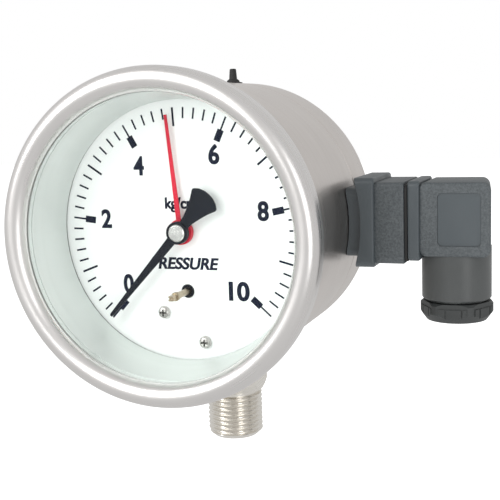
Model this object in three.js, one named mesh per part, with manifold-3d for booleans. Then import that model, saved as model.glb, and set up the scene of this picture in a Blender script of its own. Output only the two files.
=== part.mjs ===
// Contact pressure gauge (pressure switch): a stainless steel dial gauge with a Bourdon tube movement,
// an adjustable red set pointer that carries a contact, and a right-angle electrical plug on its side.
//
// Millimetres, +Z up. The origin is the centre of the stem's lower end, with the stem's axis on +Z.
// The dial faces -Y. Everything is placed from a point on the pointer's axis, a little in front of the
// stem's axis, so in the code below z = 0 is the pointer's axis and y = 0 is the Bourdon tube's plane.
import * as THREE from "three";
import { mergeVertices } from "three/addons/utils/BufferGeometryUtils.js";
import Module from "manifold-3d";

const wasm = await Module();
wasm.setup();

// ---- driving dimensions ----
const AXIS_HEIGHT = 84; // stem's lower end to the pointer's axis
const STEM_Y = 7; // stem's axis behind the Bourdon tube's plane
const CASE_R = 50;
const CASE_WALL = 1.2;
const CASE_FRONT = -53.7;
const CASE_REAR = 28;
const FLANGE_R = 52.6;
const BEZEL_R = 54.5;
const BEZEL_FRONT = -62;
const SIGHT_R = 46.3; // bezel's clear opening
const DIAL_FRONT = -35.8;
const DIAL_R = 47.6;
const SIGHT_R_AT_DIAL = 44.1; // spacer ring's opening where it meets the dial
const GAP = 0.3; // clearance between pieces that touch
const VENT_Y = 16.8;
const BLOWOUT_Z = 22;
const MOVEMENT_SCREWS = [
  [-4.6, -34.5],
  [-4.6, -41],
];

const SCALE_SWEEP = 270; // degrees of dial travel, zero to full scale
const DIAL_TURN = -2.7; // the dial sits slightly turned in its case
const ZERO_ANGLE = DIAL_TURN - SCALE_SWEEP / 2; // degrees clockwise from the top
const FULL_SCALE = 10; // kg/cm2
const SET_VALUE = 4.9; // where the set pointer stands at rest
const SET_ANGLE = ZERO_ANGLE + (SCALE_SWEEP * SET_VALUE) / FULL_SCALE;

const SHAFT_R = 1.1; // pointer shaft
const SLEEVE_R = 2.6; // set pointer's sleeve round the shaft
const FRONT_PLATE = [-27, -25.8]; // movement plates, front and rear face
const BACK_PLATE = [-13, -11.8];
const PINION_TEETH = 12;
const SECTOR_TEETH = 84; // of the full wheel that the sector is cut from
const SECTOR_MODULE = 0.35;
const SECTOR_Z = (-SECTOR_MODULE * (PINION_TEETH + SECTOR_TEETH)) / 2;
const SECTOR_SWING = (SCALE_SWEEP * PINION_TEETH) / SECTOR_TEETH;
const TAIL_LENGTH = 7; // sector pivot to link pin
const TAIL_ANGLE = -SECTOR_SWING / 2; // of the tail at rest, degrees above +X
const TIP_PIN = [22, -6]; // link's pin on the Bourdon tube's tip, x and z

const SET_TEETH = 36; // wheel on the set pointer's sleeve
const ADJUSTER_TEETH = 15;
const SET_MODULE = 0.8;
const ADJUSTER_R = (SET_MODULE * (SET_TEETH + ADJUSTER_TEETH)) / 2;
const ADJUSTER_ANGLE = 177; // degrees clockwise from the top
const SET_WHEEL = [-34.2, -32.8];

const TUBE_R = 36; // Bourdon tube's centreline
const TUBE_HALF_THICK = 2.5;
const TUBE_HALF_WIDE = 6;
const TUBE_START = -104.8; // degrees from +X, and the tube runs clockwise over the top from there
const TUBE_END = -355;

const DIAL_SCREWS = [
  [-7.9, -28],
  [6.9, -37.8],
];
const PILLARS = [
  [0, 9],
  [-7.9, -28],
  [13, -30],
];

const THREAD_R = 10.48; // G 1/2
const SQUARE = 22; // across the stem's wrench flats
const NECK_R = 9;
const PORT_R = 2.5;

const PLUG_Y = 5; // electrical plug's centre
const PLUG_Z = 0;
const BASE_FLANGE = 28.8; // side of the square saddle flange
const SADDLE_R = 54.9; // the flange's hollow, which stands off the case on a neck
const NECK_SIDE = 22;
const BASE_SIDE = 28;
const BASE_END = 69.6;
const PLUG_START = 70.8;
const PLUG_RIM = 27.2;
const RIM_RISE = 0.7; // the rim's centre above the connector's axis
const PLUG_SIDE = 25.2;
const PLUG_RISE = 1.2;
const PLUG_WALL = 2.2;
const PLUG_END = 98.4;
const PLUG_DRAFT = 7; // degrees that the hood's outer end leans in towards the back
const SCREW_SEAT = PLUG_END - 5; // seat of the fixing screw, sunk in the hood
const GLAND_X = 85.3;
const GLAND_R = 11.9;
const CABLE_R = 4.5;
const NUT_TOP = -28;
const NUT_BOTTOM = -34.6;
const BACK_SCREW_R = 46.8;

const rad = THREE.MathUtils.degToRad;
const FINE = 40; // sides of the large round pieces
const SMALL = 12; // sides of pins and screws

// ---- materials ----
const paint = (color, roughness, metalness, extra = {}) =>
  new THREE.MeshStandardMaterial({ color, roughness, metalness, ...extra });
const polished = paint(0xc9c5c0, 0.22, 1);
const brushed = paint(0xb9b2aa, 0.38, 1);
const brass = paint(0xb08d4f, 0.35, 1);
const bronze = paint(0x9c7a4a, 0.4, 1);
const silver = paint(0xdcdcd8, 0.3, 1);
const steel = paint(0x8e9092, 0.4, 1);
const white = paint(0xf6f6f3, 0.55, 0);
const black = paint(0x0b0f1a, 0.5, 0);
const red = paint(0xd22a3a, 0.45, 0);
const rubber = paint(0x141414, 0.85, 0);
const greyPlastic = paint(0x5d6466, 0.6, 0);
const darkPlastic = paint(0x2c2f30, 0.6, 0);
const clear = paint(0xffffff, 0.05, 0, { transparent: true, opacity: 0.2 });

// ---- shape tools ----
const toSolid = (geometry) => {
  const bare = geometry.clone();
  bare.deleteAttribute("normal");
  bare.deleteAttribute("uv");
  const merged = mergeVertices(bare, 1e-4);
  return new wasm.Manifold(
    new wasm.Mesh({
      numProp: 3,
      vertProperties: merged.attributes.position.array,
      triVerts: new Uint32Array(merged.index.array),
    }),
  );
};

const toGeometry = (solid) => {
  const mesh = solid.getMesh();
  const geometry = new THREE.BufferGeometry();
  geometry.setAttribute("position", new THREE.BufferAttribute(mesh.vertProperties, 3));
  geometry.setIndex(new THREE.BufferAttribute(mesh.triVerts, 1));
  return geometry;
};

const cut = (geometry, ...tools) =>
  toGeometry(tools.reduce((solid, tool) => solid.subtract(toSolid(tool)), toSolid(geometry)));
const join = (geometry, ...others) =>
  toGeometry(others.reduce((solid, other) => solid.add(toSolid(other)), toSolid(geometry)));
const common = (geometry, other) => toGeometry(toSolid(geometry).intersect(toSolid(other)));

// Turns a profile of [radius, distance] points about an axis. The profile ends on the axis or is closed here.
const turned = (profile, axis = "y", sides = SMALL) => {
  const points = profile.map(([r, t]) => new THREE.Vector2(r, t));
  const area = points.reduce((sum, p, i) => {
    const q = points[(i + 1) % points.length];
    return sum + p.x * q.y - q.x * p.y;
  }, 0);
  if (area < 0) points.reverse();
  if (points[0].x > 0 || points[points.length - 1].x > 0) points.push(points[0].clone());
  const geometry = new THREE.LatheGeometry(points, sides);
  if (axis === "z") geometry.rotateX(Math.PI / 2);
  if (axis === "x") geometry.rotateZ(-Math.PI / 2);
  return geometry;
};
const rod = (r, from, to, axis = "y", sides = SMALL) =>
  turned([[0, from], [r, from], [r, to], [0, to]], axis, sides);
const ring = (inner, outer, from, to, axis = "y", sides = SMALL) =>
  turned([[inner, from], [outer, from], [outer, to], [inner, to]], axis, sides);

const block = ([x0, x1], [y0, y1], [z0, z1]) =>
  new THREE.BoxGeometry(x1 - x0, y1 - y0, z1 - z0).translate((x0 + x1) / 2, (y0 + y1) / 2, (z0 + z1) / 2);

// A flat outline in x and z, thickened along y.
const plate = (shape, [front, rear], curveSegments = 6) =>
  new THREE.ExtrudeGeometry(shape, { depth: rear - front, bevelEnabled: false, curveSegments })
    .rotateX(Math.PI / 2)
    .translate(0, rear, 0);

const hole = (shape, x, z, r) => {
  shape.holes.push(new THREE.Path().absarc(x, z, r, 0, 2 * Math.PI, true));
  return shape;
};

// The outline that a belt would take round equal circles at the given points, listed anticlockwise.
const beltShape = (centres, r) => {
  const shape = new THREE.Shape();
  centres.forEach(([x, z], i) => {
    const before = centres[(i + centres.length - 1) % centres.length];
    const after = centres[(i + 1) % centres.length];
    const start = Math.atan2(z - before[1], x - before[0]) - Math.PI / 2;
    const end = Math.atan2(after[1] - z, after[0] - x) - Math.PI / 2;
    shape.absarc(x, z, r, start, end, false);
  });
  return shape;
};

// Points on the edge of a toothed wheel, from one tooth to another, with straight-sided teeth.
const toothPoints = (teeth, module, first, last, phase = 0) => {
  const pitchR = (teeth * module) / 2;
  const step = (2 * Math.PI) / teeth;
  const corners = [
    [-0.31, pitchR - 1.1 * module],
    [-0.11, pitchR + 0.8 * module],
    [0.11, pitchR + 0.8 * module],
    [0.31, pitchR - 1.1 * module],
  ];
  const points = [];
  for (let i = first; i <= last; i += 1) {
    corners.forEach(([share, r]) => {
      const angle = phase + (i + share) * step;
      points.push(new THREE.Vector2(r * Math.cos(angle), r * Math.sin(angle)));
    });
  }
  return points;
};
const wheelShape = (teeth, module, phase) =>
  new THREE.Shape(toothPoints(teeth, module, 0, teeth - 1, phase));

const annularSector = (inner, outer, from, to, faces) => {
  const shape = new THREE.Shape();
  shape.absarc(0, 0, outer, rad(from), rad(to), false);
  shape.absarc(0, 0, inner, rad(to), rad(from), true);
  return plate(shape, faces, 4);
};

const atAngle = (r, clockwiseFromTop) => [
  r * Math.sin(rad(clockwiseFromTop)),
  r * Math.cos(rad(clockwiseFromTop)),
];

const ADJUSTER = atAngle(ADJUSTER_R, ADJUSTER_ANGLE);

// ---- assembly ----
const gauge = new THREE.Group();
const head = new THREE.Group();
head.position.set(0, -STEM_Y, AXIS_HEIGHT);
gauge.add(head);

const add = (name, geometry, material, parent = head) => {
  const mesh = new THREE.Mesh(geometry, material);
  mesh.name = name;
  parent.add(mesh);
  return mesh;
};

// ---- case, bezel and window ----
const LUG_ANGLES = [90, 210, 330];
const LUG_HALF = 8;
const NOTCH_HALF = 11;
const NOTCH_OFFSET = 24;

function caseShell() {
  const inner = CASE_R - CASE_WALL;
  const groove = 8; // rolled groove round the shell
  const shell = turned(
    [
      [inner, CASE_FRONT],
      [FLANGE_R, CASE_FRONT],
      [FLANGE_R, CASE_FRONT + 1.5],
      [CASE_R, CASE_FRONT + 1.5],
      [CASE_R, groove - 0.8],
      [CASE_R - 0.5, groove],
      [CASE_R, groove + 0.8],
      [CASE_R, CASE_REAR],
      [44, CASE_REAR],
      [44, CASE_REAR - 1.5],
      [inner, CASE_REAR - 1.5],
    ],
    "y",
    FINE,
  );
  const notches = LUG_ANGLES.map((a) =>
    annularSector(CASE_R + 0.2, FLANGE_R + 1, a + NOTCH_OFFSET - NOTCH_HALF, a + NOTCH_OFFSET + NOTCH_HALF, [
      CASE_FRONT - 1,
      CASE_FRONT + 2,
    ]),
  );
  const stemHole = rod(NECK_R + GAP, -60, -40, "z", 16).translate(0, STEM_Y, 0);
  const wireHole = rod(8, 40, 60, "x", 16).translate(0, PLUG_Y, PLUG_Z);
  const ventHole = rod(3.8, 40, 60, "z").translate(0, VENT_Y, 0);
  const screwHoles = backScrewPlaces().map(([x, z]) => rod(1.5, 20, 30).translate(x, 0, z));
  return cut(shell, ...notches, stemHole, wireHole, ventHole, ...screwHoles);
}

function bezelRing() {
  const front = BEZEL_FRONT;
  const bead = [];
  for (let i = 0; i <= 5; i += 1) {
    const angle = rad(-160 + i * 32);
    bead.push([50.6 + 3.9 * Math.cos(angle), front + 4 + 4 * Math.sin(angle)]);
  }
  const profile = [
    [SIGHT_R, front + 3.4],
    ...bead,
    [BEZEL_R, front + 9.5],
    [BEZEL_R - 0.9, front + 11.8],
    [BEZEL_R - 1.6, front + 11.8],
    [BEZEL_R - 1.3, front + 4.4],
    [SIGHT_R + 0.3, front + 4.4],
  ];
  const lugDepth = [CASE_FRONT + 1.9, CASE_FRONT + 3.4];
  const lugs = LUG_ANGLES.map((a) =>
    annularSector(CASE_R + 0.4, BEZEL_R - 1, a - LUG_HALF, a + LUG_HALF, lugDepth),
  );
  return join(turned(profile, "y", FINE), ...lugs);
}

const ventPlug = () =>
  turned(
    [
      [0, 46.5],
      [4.3, 46.5],
      [4.3, 47.6],
      [3.5, 48.2],
      [3.5, 50.4],
      [4, 50.4],
      [4, 50.9],
      [2, 51.6],
      [1.4, 53],
      [1.2, 55.4],
      [0, 55.4],
    ],
    "z",
  ).translate(0, VENT_Y, 0);

function backScrewPlaces() {
  return [60, 180, 300].map((a) => atAngle(BACK_SCREW_R, a));
}
const BACK_COVER = [CASE_REAR + 0.9, CASE_REAR + 2.1];

function backCover() {
  const disc = rod(CASE_R - 0.5, BACK_COVER[0], BACK_COVER[1], "y", FINE);
  const holes = backScrewPlaces().map(([x, z]) => rod(1.5, 20, 40).translate(x, 0, z));
  return cut(disc, ...holes, rod(9, 20, 40, "y", 20).translate(0, 0, BLOWOUT_Z));
}

// A pan-head screw along y. Its head's outer face is at "face", and "way" is +1 if it faces +Y.
const panScrew = ([x, z], face, way, shankEnd, headR = 2.2, shankR = 1.15) => {
  const drop = -way;
  const head = [
    [0, face],
    [headR * 0.55, face],
    [headR * 0.9, face + drop * 0.5],
    [headR, face + drop * 1.3],
    [shankR, face + drop * 1.3],
    [shankR, shankEnd],
    [0, shankEnd],
  ];
  const crossWide = 0.3;
  const crossReach = headR * 0.55;
  const depth = [face - 0.7, face + 0.7];
  const across = block([-crossReach, crossReach], depth, [-crossWide, crossWide]);
  const down = block([-crossWide, crossWide], depth, [-crossReach, crossReach]);
  return cut(turned(head, "y", 10), across, down).translate(x, 0, z);
};

add("case_shell", caseShell(), brushed);
add("bezel_ring", bezelRing(), polished);
add("window_gasket", ring(48.6, 52.2, CASE_FRONT - 1.4, CASE_FRONT - GAP, "y", FINE), rubber);
add("window", rod(52.2, CASE_FRONT - 3.6, CASE_FRONT - 1.7, "y", FINE), clear);
add(
  "spacer_ring",
  turned(
    [
      [SIGHT_R, CASE_FRONT - 1.4],
      [48.3, CASE_FRONT - 1.4],
      [48.3, CASE_FRONT + 0.2],
      [SIGHT_R + 1, CASE_FRONT + 0.2],
      [SIGHT_R_AT_DIAL + 1.2, DIAL_FRONT - GAP],
      [SIGHT_R_AT_DIAL, DIAL_FRONT - GAP],
    ],
    "y",
    FINE,
  ),
  polished,
);
add("vent_plug", ventPlug(), rubber);
add("back_gasket", cut(
  ring(44, CASE_R - 0.3, CASE_REAR + 0.2, CASE_REAR + 0.7, "y", FINE),
  ...backScrewPlaces().map(([x, z]) => rod(1.5, 20, 40).translate(x, 0, z)),
), rubber);
add("back_cover", backCover(), brushed);
add("blowout_disc", turned([
  [0, BACK_COVER[0] - 1],
  [10.2, BACK_COVER[0] - 1],
  [10.2, BACK_COVER[0] - GAP],
  [8.7, BACK_COVER[0] - GAP],
  [8.7, BACK_COVER[1] + 0.6],
  [7.5, BACK_COVER[1] + 1.1],
  [0, BACK_COVER[1] + 1.1],
], "y", 20).translate(0, 0, BLOWOUT_Z), rubber);
backScrewPlaces().forEach((place, i) => {
  add(`back_cover_screw_${i + 1}`, panScrew(place, BACK_COVER[1] + 1.6, 1, CASE_REAR - 4), steel);
});

// ---- dial ----
const DIAL_REAR = DIAL_FRONT + 0.8;

function dial() {
  const disc = rod(DIAL_R, DIAL_FRONT, DIAL_REAR, "y", FINE);
  const holes = [
    rod(SLEEVE_R + 0.6, -40, -30),
    rod(2.4, -40, -30).translate(ADJUSTER[0], 0, ADJUSTER[1]),
    ...DIAL_SCREWS.map(([x, z]) => rod(1.5, -40, -30).translate(x, 0, z)),
  ];
  return cut(disc, ...holes);
}

add("dial", dial(), white);
DIAL_SCREWS.forEach((place, i) => {
  add(`dial_screw_${i + 1}`, panScrew(place, DIAL_FRONT - 1.6, -1, DIAL_REAR + 5), steel);
});
const bush = ring(1.5, 2.1, DIAL_FRONT - 0.3, DIAL_REAR + 0.2);
add("adjuster_bush", bush.translate(ADJUSTER[0], 0, ADJUSTER[1]), black);

// ---- stem and pressure side ----
const STEM_END = -AXIS_HEIGHT;
const FLATS_LOW = -66; // lower end of the wrench flats
const CORNER_R = 13; // the square's turned corners
const SOCKET_TOP = -31;

function stem() {
  const thread = turned(
    [
      [0, STEM_END],
      [THREAD_R - 1.6, STEM_END],
      [THREAD_R, STEM_END + 1.6],
      [THREAD_R, FLATS_LOW - 2.6],
      [THREAD_R - 1.4, FLATS_LOW - 2],
      [THREAD_R - 1.4, FLATS_LOW + 1],
      [0, FLATS_LOW + 1],
    ],
    "z",
    24,
  );
  const corners = turned(
    [[0, FLATS_LOW], [SQUARE / 2, FLATS_LOW], [CORNER_R, FLATS_LOW + 3], [CORNER_R, -45], [0, -45]],
    "z",
    24,
  );
  const half = SQUARE / 2;
  const flats = common(block([-half, half], [-half, half], [FLATS_LOW, -45]), corners);
  const outside = cut(flats.translate(0, STEM_Y, 0), rod(CASE_R + GAP, -60, 60, "y", FINE));
  const neck = rod(NECK_R, -54, -45, "z", 16).translate(0, STEM_Y, 0);
  const socket = block([-8, 8], [-11.5, 13.6], [-46, SOCKET_TOP]);
  const port = rod(PORT_R, STEM_END - 1, -38, "z", 16).translate(0, STEM_Y, 0);
  const screwPlaces = [...MOVEMENT_SCREWS, DIAL_SCREWS[1]];
  const screwHoles = screwPlaces.map(([x, z]) => rod(1.5, -20, -5).translate(x, 0, z));
  return cut(join(outside, thread.translate(0, STEM_Y, 0), neck, socket), port, ...screwHoles);
}

add("stem", stem(), brushed);
add("stem_seal", ring(NECK_R + GAP, 11, -47.2, -46.3, "z", 16).translate(0, STEM_Y, 0), rubber);
const restrictor = ring(0.6, PORT_R - GAP, STEM_END + 4, STEM_END + 9, "z", 16);
add("restrictor_screw", restrictor.translate(0, STEM_Y, 0), brass);

// The Bourdon tube's centreline, and a shape swept along it.
function bourdonTube() {
  class TubeLine extends THREE.Curve {
    getPoint(t, target = new THREE.Vector3()) {
      const angle = rad(TUBE_START + (TUBE_END - TUBE_START) * t);
      return target.set(TUBE_R * Math.cos(angle), 0, TUBE_R * Math.sin(angle));
    }
  }
  const section = new THREE.Shape();
  section.absellipse(0, 0, TUBE_HALF_THICK, TUBE_HALF_WIDE, 0, 2 * Math.PI, false, 0);
  return new THREE.ExtrudeGeometry(section, {
    steps: 30,
    extrudePath: new TubeLine(),
    curveSegments: 6,
  });
}
add("bourdon_tube", bourdonTube(), bronze);

// End piece brazed to the tube's free end, with an arm forward and inward to the link's pin.
function tubeTip() {
  const [pinX, pinZ] = TIP_PIN;
  const endBlock = block([32.8, 39.2], [-6.5, 6.5], [-7, 2]);
  const forward = block([33, 36], [-16.5, -6], [pinZ - 2, pinZ + 2]);
  const inward = block([pinX - 2, 36], [-16.5, -15.1], [pinZ - 2, pinZ + 2]);
  const pin = rod(0.6, -19, -15.8, "y", 12).translate(pinX, 0, pinZ);
  return join(endBlock, forward, inward, pin);
}
add("tube_tip", tubeTip(), brass);

// ---- movement ----
const SECTOR_PLANE = [-20, -18.6];
const LINK_PLANE = [-18.2, -17.2];
const TAIL_PIN = [
  TAIL_LENGTH * Math.cos(rad(TAIL_ANGLE)),
  SECTOR_Z + TAIL_LENGTH * Math.sin(rad(TAIL_ANGLE)),
];

function frontPlate() {
  const shape = beltShape([PILLARS[0], PILLARS[1], PILLARS[2]], 4);
  hole(shape, 0, 0, SHAFT_R + GAP);
  hole(shape, 0, SECTOR_Z, 1 + GAP);
  hole(shape, ...ADJUSTER, 1.15 + GAP);
  return plate(shape, FRONT_PLATE);
}
function backPlate() {
  const shape = beltShape([PILLARS[0], PILLARS[1], PILLARS[2]], 4);
  hole(shape, 0, 0, 0.8 + GAP);
  hole(shape, 0, SECTOR_Z, 1 + GAP);
  const foot = block([-8, 1.6], BACK_PLATE, [-44, -30]);
  const holes = MOVEMENT_SCREWS.map(([x, z]) => rod(1.5, -20, -5).translate(x, 0, z));
  return cut(join(plate(shape, BACK_PLATE), foot), ...holes);
}
add("movement_front_plate", frontPlate(), brass);
add("movement_back_plate", backPlate(), brass);
PILLARS.forEach(([x, z], i) => {
  const pillar = rod(2, FRONT_PLATE[1] + GAP, BACK_PLATE[0] - GAP, "y", 16);
  add(`movement_pillar_${i + 1}`, pillar.translate(x, 0, z), brass);
});
MOVEMENT_SCREWS.forEach((place, i) => {
  add(`movement_screw_${i + 1}`, panScrew(place, BACK_PLATE[0] - 1.6, -1, -7), steel);
});
// One dial post stands on the movement's front plate and the other on the stem's socket.
const POST_ENDS = [FRONT_PLATE[0] - GAP, -11.5 - GAP];
DIAL_SCREWS.forEach(([x, z], i) => {
  const post = rod(2.2, DIAL_REAR + GAP, POST_ENDS[i], "y", 16);
  const bore = rod(1.45, DIAL_REAR + 0.1, DIAL_REAR + 6.5, "y", 12);
  add(`dial_post_${i + 1}`, cut(post, bore).translate(x, 0, z), brass);
});

// Toothed sector on its arbor. It stands turned clockwise at rest and swings anticlockwise as pressure rises.
function sectorGear() {
  const pitch = 360 / SECTOR_TEETH;
  const inMesh = 90; // the direction of the pinion from the sector's pivot, degrees above +X
  const spare = 2; // teeth past each end of the travel
  const travel = Math.ceil(SECTOR_SWING / pitch);
  const points = toothPoints(SECTOR_TEETH, SECTOR_MODULE, -travel - spare, spare, rad(inMesh));
  const rim = (SECTOR_TEETH * SECTOR_MODULE) / 2 - 3;
  const first = Math.atan2(points[0].y, points[0].x);
  const last = Math.atan2(points[points.length - 1].y, points[points.length - 1].x);
  const shape = new THREE.Shape(points);
  shape.absarc(0, 0, 3, last, first + 2 * Math.PI, false);
  const window = new THREE.Path();
  window.absarc(0, 0, rim, first + 0.12, last - 0.12, false);
  window.absarc(0, 0, 5, last - 0.25, first + 0.25, true);
  shape.holes.push(window);
  const tail = beltShape(
    [[0, 0], [TAIL_PIN[0], TAIL_PIN[1] - SECTOR_Z]],
    1.7,
  );
  const arbor = rod(1, -26.7, -12.1, "y", 16);
  const pin = rod(0.6, SECTOR_PLANE[1] - 0.5, LINK_PLANE[1] + 0.5, "y", 12);
  return join(
    plate(shape, SECTOR_PLANE),
    plate(tail, SECTOR_PLANE),
    arbor,
    pin.translate(TAIL_PIN[0], 0, TAIL_PIN[1] - SECTOR_Z),
  ).translate(0, 0, SECTOR_Z);
}
add("sector_gear", sectorGear(), brass);

function link() {
  const shape = beltShape([TAIL_PIN, TIP_PIN], 2.5);
  hole(shape, ...TAIL_PIN, 1.6);
  hole(shape, ...TIP_PIN, 1.4);
  return plate(shape, LINK_PLANE);
}
add("link", link(), brass);

// Pointer shaft with its pinion. A space between two of the pinion's teeth faces the sector at rest.
function pointerShaft() {
  const meshPhase = rad(-90) + Math.PI / PINION_TEETH;
  const pinion = plate(wheelShape(PINION_TEETH, SECTOR_MODULE, meshPhase), [-21, -17.6]);
  const front = rod(SHAFT_R, -40.4, -20.5, "y", 16);
  const rear = rod(0.8, -18, -12.1, "y", 16);
  return join(pinion, front, rear);
}
add("pointer_shaft", pointerShaft(), steel);

// Flat spiral spring from the shaft to a stud on the front plate.
function hairspring() {
  const turns = 3.5;
  const innerR = 1.6;
  const outerR = 5.4;
  const thick = 0.22;
  const steps = 42;
  const spiral = (offset) =>
    Array.from({ length: steps + 1 }, (_, i) => {
      const r = innerR + ((outerR - innerR) * i) / steps + offset;
      const angle = (turns * 2 * Math.PI * i) / steps;
      return new THREE.Vector2(r * Math.cos(angle), r * Math.sin(angle));
    });
  return plate(new THREE.Shape([...spiral(0), ...spiral(thick).reverse()]), [-24.4, -23.4]);
}
add("hairspring", hairspring(), bronze);

// ---- indicating pointer ----
const POINTER_PLANE = [-40.2, -39.6];

function pointerBlade() {
  const along = rad(90 - ZERO_ANGLE);
  const toPlace = (length, side) => {
    const dx = Math.cos(along);
    const dz = Math.sin(along);
    return new THREE.Vector2(length * dx - side * dz, length * dz + side * dx);
  };
  const outline = [
    [0, 2],
    [4, 1.6],
    [38.8, 0.6],
    [39.6, 0],
    [38.8, -0.6],
    [4, -1.6],
    [0, -2],
    [-5, -1.9],
    [-9, -2.7],
    [-13, -4.3],
    [-15.6, -5.7],
    [-16.6, -5.3],
    [-18, 0],
    [-16.6, 5.3],
    [-15.6, 5.7],
    [-13, 4.3],
    [-9, 2.7],
    [-5, 1.9],
  ].reverse();
  const blade = plate(new THREE.Shape(outline.map(([l, s]) => toPlace(l, s))), POINTER_PLANE);
  const hub = rod(3.8, -41, -38.9, "y", 24);
  return cut(join(blade, hub), rod(SHAFT_R + GAP, -45, -35), rod(3.1, -42, -40.4, "y", 20));
}
add("pointer", pointerBlade(), black);
const capProfile = [[0, -41.4], [2.4, -41.4], [2.8, -41.1], [2.8, -40.7], [0, -40.7]];
add("pointer_cap", turned(capProfile, "y", 24), silver);

// ---- set pointer, its wheel and its contact ----
const setPointer = new THREE.Group();
setPointer.rotation.y = rad(SET_ANGLE);
head.add(setPointer);

function setPointerBlade() {
  const shape = new THREE.Shape([
    new THREE.Vector2(0.9, 0),
    new THREE.Vector2(0.9, 6),
    new THREE.Vector2(0.5, 39.3),
    new THREE.Vector2(-0.5, 39.3),
    new THREE.Vector2(-0.9, 6),
    new THREE.Vector2(-0.9, 0),
  ]);
  const blade = plate(shape, [-37.9, -37.4]);
  return cut(join(blade, rod(4.2, -38.2, -36.3, "y", 24)), rod(SLEEVE_R + GAP, -39, -35));
}
add("set_pointer", setPointerBlade(), red, setPointer);

function setWheel() {
  const phase = rad(90 - ADJUSTER_ANGLE + SET_ANGLE) + Math.PI / SET_TEETH;
  const wheel = plate(wheelShape(SET_TEETH, SET_MODULE, phase), SET_WHEEL);
  return cut(join(wheel, rod(SLEEVE_R, -38, SET_WHEEL[0] + 0.5)), rod(SHAFT_R + 0.4, -40, -30));
}
add("set_wheel", setWheel(), brass, setPointer);

const CONTACT_R = 15;
add(
  "contact_bracket",
  plate(
    hole(beltShape([[0, CONTACT_R], [0, 0]], 2.4), 0, 0, SHAFT_R + 0.5),
    [SET_WHEEL[1] + GAP, -31.7],
  ),
  steel,
  setPointer,
);
add("set_contact", rod(1.1, -31.4, -31, "y", 12).translate(0, 0, CONTACT_R), silver, setPointer);

const contactArm = new THREE.Group();
contactArm.rotation.y = rad(ZERO_ANGLE);
head.add(contactArm);
add(
  "contact_arm",
  plate(hole(beltShape([[0, 0], [0, CONTACT_R]].reverse(), 1.8), 0, 0, SHAFT_R + GAP), [-30, -29.2]),
  steel,
  contactArm,
);
add("moving_contact", rod(1.1, -30.7, -30.3, "y", 12).translate(0, 0, CONTACT_R), silver, contactArm);

// ---- adjuster ----
function adjusterSpindle() {
  const shaft = rod(1.15, -46, -26.2, "y", 16);
  const collar = rod(1.6, -46.6, -44.8, "y", 8);
  const key = block([-0.9, 0.9], [-49.8, -46], [-0.9, 0.9]);
  return join(shaft, collar, key).translate(ADJUSTER[0], 0, ADJUSTER[1]);
}
add("adjuster_spindle", adjusterSpindle(), brass);
const adjusterPinion = cut(
  plate(wheelShape(ADJUSTER_TEETH, SET_MODULE, rad(270 - ADJUSTER_ANGLE)), SET_WHEEL),
  rod(1.15 + GAP, -40, -30),
).translate(ADJUSTER[0], 0, ADJUSTER[1]);
add("adjuster_pinion", adjusterPinion, brass);

// ---- terminal strip and leads ----
const strip = cut(
  block([-7, 7], [14.4, 20.4], [-44.7, -37]),
  ...[-4.5, 0, 4.5].map((x) => rod(1.3, -39, -36, "z", 12).translate(x, 17.4, 0)),
);
add("terminal_strip", strip, darkPlastic);

const LEADS = ["common", "contact", "earth"];
LEADS.forEach((name, i) => {
  const side = i - 1;
  const route = new THREE.CatmullRomCurve3([
    new THREE.Vector3(66, PLUG_Y, PLUG_Z - 2.6 * side),
    new THREE.Vector3(56, PLUG_Y, PLUG_Z - 2.6 * side),
    new THREE.Vector3(46, PLUG_Y + 6, PLUG_Z - 1 - 2.6 * side),
    new THREE.Vector3(28 + 2 * side, 19.5, -12 - 2 * side),
    new THREE.Vector3(10 + 3.5 * side, 20.5, -22 - 3 * side),
    new THREE.Vector3(4.5 * side, 19.5, -30),
    new THREE.Vector3(4.5 * side, 17.4, -38),
  ]);
  const section = new THREE.Shape().absarc(0, 0, 0.8, 0, 2 * Math.PI, false);
  const lead = new THREE.ExtrudeGeometry(section, { steps: 18, extrudePath: route, curveSegments: 3 });
  add(`lead_${name}`, lead, [red, black, greyPlastic][i]);
});

// ---- electrical plug ----
const squareBar = (side, from, to, corner, rise = 0) => {
  const h = side / 2 - corner;
  const shape = beltShape([[-h, -h], [h, -h], [h, h], [-h, h]], corner);
  return new THREE.ExtrudeGeometry(shape, { depth: to - from, bevelEnabled: false, curveSegments: 3 })
    .rotateX(Math.PI / 2)
    .rotateZ(Math.PI / 2)
    .translate(from, PLUG_Y, PLUG_Z + rise);
};
const PIN_PLACES = { pin_1: [0, 6.4], pin_2: [0, -6.4], pin_earth: [6.4, 0] };

// A flat blade of the base, or a larger slot for one. The earth blade stands across the other two.
const bladeBlock = (name, from, to, spare = 0) => {
  const [y, z] = PIN_PLACES[name];
  const wide = 3 + spare;
  const thin = 0.4 + spare;
  const [dy, dz] = name === "pin_earth" ? [thin, wide] : [wide, thin];
  return block(
    [from, to],
    [PLUG_Y + y - dy, PLUG_Y + y + dy],
    [PLUG_Z + z - dz, PLUG_Z + z + dz],
  );
};

function connectorBase() {
  const flange = cut(squareBar(BASE_FLANGE, 44, 59.5, 2.5), rod(SADDLE_R, -40, 60, "y", FINE));
  const neck = cut(squareBar(NECK_SIDE, 44, 58, 2.5), rod(CASE_R + GAP, -40, 60, "y", FINE));
  const body = squareBar(BASE_SIDE, 59, BASE_END, 2);
  const cavity = rod(9, 40, 66.5, "x", 16).translate(0, PLUG_Y, PLUG_Z);
  const slots = Object.keys(PIN_PLACES).map((name) => bladeBlock(name, 60, 72, GAP));
  const screwHole = rod(1.7, 66, 74, "x", 12).translate(0, PLUG_Y, PLUG_Z);
  return cut(join(flange, neck, body), cavity, screwHole, ...slots);
}
add("connector_base", connectorBase(), greyPlastic);
Object.keys(PIN_PLACES).forEach((name) => {
  add(`connector_${name}`, bladeBlock(name, 63, 82), silver);
});

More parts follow.
